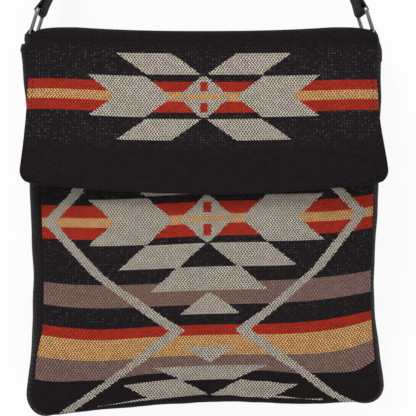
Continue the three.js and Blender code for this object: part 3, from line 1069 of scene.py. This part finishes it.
def makeFlap():
    split = flap["split"]

    def flapCloth(u, row):
        path = flapStations(u, 0.0)
        y = path[row][0]
        if row <= foldLast:  # over the fold it is measured along the cloth
            y = path[foldLast + 1][0]
            y += sum(math.dist(path[i], path[i + 1]) for i in range(row, foldLast + 1))
        fall = clamp((bag["top"] - y) / flap["length"])
        hang = mixed(flap["hang"][0], sum(flap["hang"]), fall) * max(0, 1 - (u / flap["hangHalf"]) ** 2)
        return (flapPlace(u, row).x, y + hang - flap["hitch"] * ease(-u * 2.5 - 1))

    def rowAt(v, first):
        return first + round((1 - v) * (flapLast - first))

    front = clothGrid(
        "flapFront",
        flap["columns"],
        flapLast - split,
        lambda u, v: flapPlace(u, rowAt(v, split)),
        lambda u, v: flapCloth(u, rowAt(v, split)),
    )
    thicken(front, bag["cloth"], 0, flap["edge"])
    dress(front, flapWeave, "weave", "flap_front")
    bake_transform(front)

    lap = flap["lapRows"]
    lead = lap + flap["turnRows"]

    def bridgeAt(u, v):  # a lap on the back panel, a turn, and the bridge's first rows
        row = round(v * (split + lead))
        if row >= lead:
            return flapPlace(u, row - lead)
        start = flapPlace(u, 0)
        back = bag["middle"] - bag["mouthHalf"] - bag["cloth"] / 2 - flap["lapGap"]
        turn = start.y - bag["top"] + mouthSag(u) + flap["lapTurn"]
        if row >= lap:
            a = math.pi / 2 * (row - lap) / flap["turnRows"]
            return Vector((start.x, start.y - turn + turn * math.sin(a), back + turn * (1 - math.cos(a))))
        return Vector((start.x, start.y - turn - flap["lap"] * (lap - row) / lap, back))

    def bridgeUv(u, v):
        first, step = flap["bridgeCloth"]
        return (bridgeAt(u, v).x, first - step * round(v * (split + lead)))

    bridge = clothGrid("flapBridge", flap["columns"], split + lead, bridgeAt, bridgeUv)
    weld(bridge)
    thicken(bridge, bag["cloth"], 0, flap["bridgeEdge"])
    dress(bridge, flapWeave, "weave", "flap_top")
    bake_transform(bridge)

    def seamSpot(u, fall):  # a point on the front cloth
        path = flapStations(u, 0.0)
        start = bag["top"] - path[foldLast][0]
        at = clamp((fall - start) / (flapLong(u) - start)) * flap["frontRows"]
        row = min(flap["frontRows"] - 1, int(at))
        z = mixed(path[foldLast + row][1], path[foldLast + row + 1][1], at - row)
        return Vector((u * flapHalf(u, fall), bag["top"] - fall, z))

    def seamAt(u, fall):  # on the cloth's face, and its normal
        across = seamSpot(u + 0.01, fall) - seamSpot(u - 0.01, fall)
        down = seamSpot(u, fall + 0.001) - seamSpot(u, fall - 0.001)
        normal = down.cross(across).normalized()
        return seamSpot(u, fall) + normal * (bag["cloth"] / 2), normal

    edge = stitch["edge"]
    steps = stitch["steps"]
    falls = [flapLong(edge) - stitch["inset"] - stitch["sides"] * i / steps for i in range(steps + 1)]
    seam = [seamAt(-edge, fall) for fall in reversed(falls)]
    for i in range(1, 2 * steps):
        u = edge * (i / steps - 1)
        seam.append(seamAt(u, flapLong(u) - stitch["inset"]))
    seam += [seamAt(edge, fall) for fall in falls]
    sewn = sewAlong("flapStitches", seam)
    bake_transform(sewn)

    inset = bag["cloth"] / 2 + bag["gap"] + flap["lining"] / 2
    under = clothGrid(
        "flapLining",
        flap["liningColumns"],
        flapLast - 1,
        lambda u, v: flapPlace(u, rowAt(v, 1), inset, flap["liningTrim"]),
        lambda u, v: flapCloth(u, rowAt(v, 1)),
    )
    thicken(under, flap["lining"], 0)
    dress(under, liningCotton, "lining", "flap_lining")
    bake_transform(under)


makeFlap()
print("flap folded")

ring = dict(
    wire=0.003,
    inner=0.021,
    long=0.0172,
    corner=0.0025,
    cornerSteps=8,
    around=20,
    play=0.0006,
    tabRise=0.006,
    run=(0.0062, 0.0193, -0.002),  # inwards, upwards, and down to the table
    lean=(10, 17),  # degrees, left and right
    shift=(-0.001, 0.001),
)
tab = dict(
    width=0.017,
    cloth=0.0014,
    tail=0.015,
    steps=6,
    neck=0.0038,
    snug=0.88,  # how much of the gusset's bow it follows
    cup=0.0058,
    cupFrom=0.002,
)
strap = dict(
    width=0.018,
    cloth=0.0019,
    play=0.0002,
    tail=0.024,
    neck=0.008,
    tailNeck=0.006,
    floor=0.0004,
    settle=0.045,
    lean=8,
    route=[  # the left half, from its ring
        (-0.123, 0.178),
        (-0.113, 0.197),
        (-0.099, 0.232),
        (-0.085, 0.280),
        (-0.066, 0.336),
        (-0.036, 0.384),
    ],
    apex=(0.0, 0.400),
    skew=0.003,  # the right half lies nearer the middle
    steps=180,
    give=34,  # the step along the strap at which one of its points is picked out
)
bandColumns = 6
bandEdge = 0.24  # its rounded edge, as a share of its thickness


def tabX(side, y):
    across = tab["width"] / 2 / (seamDepth(y) - bag["cloth"] - bag["gap"])
    bow = tab["snug"] * gussetBow(side, y) * (1 - across * across)
    return bagHalf(y) + bow - bag["cloth"] - tab["cloth"] - 1.5 * bag["gap"]


def ringSpot(side, hand):
    end = 0 if side < 0 else 1
    x = side * (tabX(side, gussetTop) - ring["shift"][end])
    bar = Vector((x, gussetTop + ring["tabRise"], bag["middle"]))
    inwards, upwards, down = ring["run"]
    along = Vector((-side * inwards, upwards, down)).normalized()
    upright = (Vector((0, 0, 1)) - along * along.z).normalized()
    pins = Matrix.Rotation(side * math.radians(ring["lean"][end]), 3, along) @ upright
    strapBar = bar + along * (ring["long"] + ring["wire"])
    return dict(side=side, hand=hand, tabBar=bar, along=along, pins=pins, strapBar=strapBar)


def makeRing(spot):
    half = (ring["inner"] + ring["wire"]) / 2
    long = ring["long"] + ring["wire"]
    bend = ring["corner"]
    steps = ring["cornerSteps"]
    line = []
    for turn, (right, far) in enumerate([(1, 0), (1, 1), (-1, 1), (-1, 0)]):
        x = right * (half - bend)
        y = long - bend if far else bend
        for i in range(steps + 1):
            a = math.pi / 2 * (turn - 1 + i / steps)
            line.append((x + bend * math.cos(a), y + bend * math.sin(a), a))
    line.append(line[0])
    face = spot["pins"].cross(spot["along"])

    def place(u, v):
        x, y, a = line[round(v * (len(line) - 1))]
        around = math.pi * (u + 1)
        out = ring["wire"] / 2 * math.cos(around)
        flat = spot["pins"] * (x + out * math.cos(a)) + spot["along"] * (y + out * math.sin(a))
        return spot["tabBar"] + flat + face * (ring["wire"] / 2 * math.sin(around))

    name = "ring" + spot["hand"]
    body = "ring_" + spot["hand"].lower()
    piece = clothGrid(name, ring["around"], len(line) - 1, place, lambda u, v: (u, v))
    weld(piece)
    dress(piece, nickelWire, "nickel", body)
    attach(piece, body)


def turnRound(centre, away, bar, radius, count=16):
    across = bar.cross(away).normalized()
    points = []
    for i in range(count + 1):
        a = math.pi * i / count
        points.append(centre + across * (math.cos(a) * radius) + away * (math.sin(a) * radius))
    return points


def makeBand(name, stations, width, cloth, cups=None):
    count = len(stations) - 1
    sides = []
    lengths = [0.0]
    for i, (place, wide) in enumerate(stations):
        run = (stations[min(count, i + 1)][0] - stations[max(0, i - 1)][0]).normalized()
        sides.append((wide - run * wide.dot(run)).normalized())
        if i:
            lengths.append(lengths[-1] + (place - stations[i - 1][0]).length)

    def spot(u, v):
        i = round(v * count)
        place = stations[i][0] + sides[i] * (u * width / 2)
        return place + cups[i] * (1 - u * u) if cups else place

    def flat(u, v):
        return (u * width / 2, lengths[round(v * count)])

    piece = clothGrid(name, bandColumns, count, spot, flat)
    thicken(piece, cloth, 0, cloth * bandEdge)
    dress(piece, strapWebbing, "strap")
    return piece


def makeTab(spot):
    side = spot["side"]
    bar = spot["pins"]
    centre = spot["tabBar"]
    apart = (tab["cloth"] + bag["gap"]) / 2
    lean = (tabX(side, gussetTop) - side * centre.x) / 2
    away = (Vector((0, 1, 0)) - bar * bar.y).normalized()
    turn = turnRound(centre, away, bar, (ring["wire"] + tab["cloth"]) / 2 + ring["play"])
    if turn[0].x * side > turn[-1].x * side:
        turn.reverse()

    def tail(offset):
        marks = []
        for i in range(tab["steps"] + 1):
            marks.append((gussetTop - tab["tail"] * (1 - i / tab["steps"]), 0, Vector((0, 0, 1))))
        marks.append((centre.y - tab["neck"], lean, bar))
        stations = []
        for y, shift, wide in marks:
            x = tabX(side, min(y, gussetTop)) - shift + offset
            stations.append((Vector((side * x, y, centre.z)), wide))
        return stations

    stations = tail(-apart) + [(p, bar) for p in turn] + tail(apart)[::-1]
    cups = []
    for place, _ in stations:  # the tails lie in the gusset's hollow, the loop lies straight on the wire
        deep = tab["cup"] * ease((centre.y + tab["cupFrom"] - place.y) / tab["neck"])
        cups.append(Vector((side * deep, 0, 0)))
    piece = makeBand("tab" + spot["hand"], stations, tab["width"], tab["cloth"], cups)
    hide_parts("ring_tab_" + spot["hand"].lower())
    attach(piece, "bag")


def smoothRoute(knots, steps):  # even points on a curve through the knots
    ends = [knots[0] * 2 - knots[1]] + knots + [knots[-1] * 2 - knots[-2]]
    finer = 40
    fine = []
    for i in range(len(knots) - 1):
        p = ends[i : i + 4]
        t = [0.0]
        for a, b in zip(p, p[1:]):
            t.append(t[-1] + math.sqrt((b - a).length))
        for k in range(finer):
            s = mixed(t[1], t[2], k / finer)
            a = [p[j].lerp(p[j + 1], (s - t[j]) / (t[j + 1] - t[j])) for j in range(3)]
            b = [a[j].lerp(a[j + 1], (s - t[j]) / (t[j + 2] - t[j])) for j in range(2)]
            fine.append(b[0].lerp(b[1], (s - t[1]) / (t[2] - t[1])))
    fine.append(knots[-1])
    return evenPoints(fine, steps, lambda step: step.length)


def strapStations(left, right):  # from ring to ring: each point, and the way across the band there
    arch = [Vector((x, y, 0)) for x, y in strap["route"]]
    back = [Vector((-p.x - strap["skew"], p.y, 0)) for p in reversed(arch)]
    knots = [left["strapBar"]] + arch + [Vector((*strap["apex"], 0))] + back + [right["strapBar"]]
    steps = strap["steps"]
    even, total = smoothRoute(knots, steps)
    print("strap length between rings, m:", round(total, 3))
    lean = math.radians(strap["lean"])
    rise = strap["floor"] + math.cos(lean) * strap["width"] / 2 + math.sin(lean) * strap["cloth"] / 2
    stations = []
    for i in range(1, steps):
        run = even[i + 1] - even[i - 1]
        run.z = 0
        run.normalize()
        outward = Vector((-run.y, run.x, 0))
        standing = Vector((0, 0, math.cos(lean))) + outward * math.sin(lean)
        end = left if i < steps / 2 else right
        settled = ease((min(i, steps - i) / steps * total - strap["tail"]) / strap["settle"])
        place = Vector((even[i].x, even[i].y, mixed(end["strapBar"].z, rise, settled)))
        stations.append((place, end["pins"].lerp(standing, settled).normalized()))
    return stations


def makeStrapHalf(end, run):  # its sewn tail, the turn round its ring, and its way to the middle
    side = end["side"]
    bar = end["strapBar"]
    pins = end["pins"]
    away = (bar - run[0][0]).normalized()
    away = (away - pins * away.dot(pins)).normalized()
    turn = turnRound(bar, away, pins, (ring["wire"] + strap["cloth"]) / 2 + strap["play"])
    if turn[0].x * side >= turn[-1].x * side:
        turn.reverse()
    tail = []
    for i, (place, wide) in enumerate(run):
        if (place - bar).length >= strap["tail"]:
            break
        ahead = (run[i + 1][0] - place).normalized()
        aside = ahead.cross(wide).normalized()
        out = -1 if aside.x * side > 0 else 1
        behind = place + aside * (out * (strap["cloth"] + bag["gap"]))
        if (behind - bar).length > strap["tailNeck"]:
            tail.append((behind, wide))
    way = [station for station in run if (station[0] - bar).length > strap["neck"]]
    stations = tail[::-1] + [(p, pins) for p in turn] + way
    piece = makeBand("strap" + end["hand"], stations, strap["width"], strap["cloth"])
    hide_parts("shoulder_strap")
    far = way[min(len(way) - 1, strap["give"])][0]
    "ring_" + end["hand"].lower()
    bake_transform(piece)
    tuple(bar)
    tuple(far)


leftRing = ringSpot(-1, "Left")
rightRing = ringSpot(1, "Right")
for ringEnd in (leftRing, rightRing):
    makeRing(ringEnd)
    makeTab(ringEnd)
strapWay = strapStations(leftRing, rightRing)
strapMiddle = len(strapWay) // 2
makeStrapHalf(leftRing, strapWay[: strapMiddle + 1])
makeStrapHalf(rightRing, strapWay[strapMiddle:][::-1])
print("rings, tabs and strap joined")

for name in ("snap_socket", "snap_stud"):
    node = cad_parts[name]
    node.data.materials.clear()
    node.data.materials.append(nickelWire)
print("snap dressed")


studio = dict(
    floor=(0.95, 0.95, 0.95, 1),
    floorSize=12,
    floorDrop=0.0005,
    glow=0.9,  # how much of the floor shows as plain white paper
    world=0.43,
    lamps=[  # name, place, size, power
        ("keyLamp", (-0.8, 2.1, 1.35), 1.1, 53.5),
        ("fillLamp", (0.7, -1.7, 1.3), 1.6, 24.5),
    ],
)


def makeFloor():
    bpy.ops.object.select_all(action="DESELECT")
    bpy.ops.mesh.primitive_plane_add(size=studio["floorSize"], location=(0, 0, -studio["floorDrop"]))
    floor = bpy.context.active_object
    floor.name = "floor"
    finish = Finish("floorWhite")
    finish.put("Base Color", studio["floor"])
    finish.put("Roughness", 0.9)
    finish.put("Specular IOR Level", 0.1)
    rays = ("Is Camera Ray", "Is Glossy Ray", "Is Transmission Ray")
    seen = [finish.node("ShaderNodeLightPath", {}, {}, ray) for ray in rays]
    share = (seen[0] | seen[1] | seen[2]) * studio["glow"]
    glow = finish.node("ShaderNodeEmission", {}, {"Color": (1, 1, 1, 1), "Strength": 1.0})
    lit = Sum(finish.tree, finish.shader.outputs[0])
    paper = finish.node("ShaderNodeMixShader", {}, {0: share, 1: lit, 2: glow})
    finish.tree.links.new(paper.socket, finish.tree.nodes["Material Output"].inputs["Surface"])
    floor.data.materials.append(finish.material)


def makeLight():
    for name, spot, size, power in studio["lamps"]:
        bpy.ops.object.light_add(type="AREA", location=spot)
        lamp = bpy.context.active_object
        lamp.name = name
        lamp.data.size = size
        lamp.data.energy = power
        lamp.rotation_euler = (-Vector(spot)).to_track_quat("-Z", "Y").to_euler()
    world = bpy.data.worlds.new("studioWhite")
    scene.world = world
    world.use_nodes = True
    sky = world.node_tree.nodes["Background"]
    sky.inputs["Color"].default_value = (1, 1, 1, 1)
    sky.inputs["Strength"].default_value = studio["world"]
    scene.view_settings.view_transform = "Standard"


makeFloor()
makeLight()
print("studio lit")
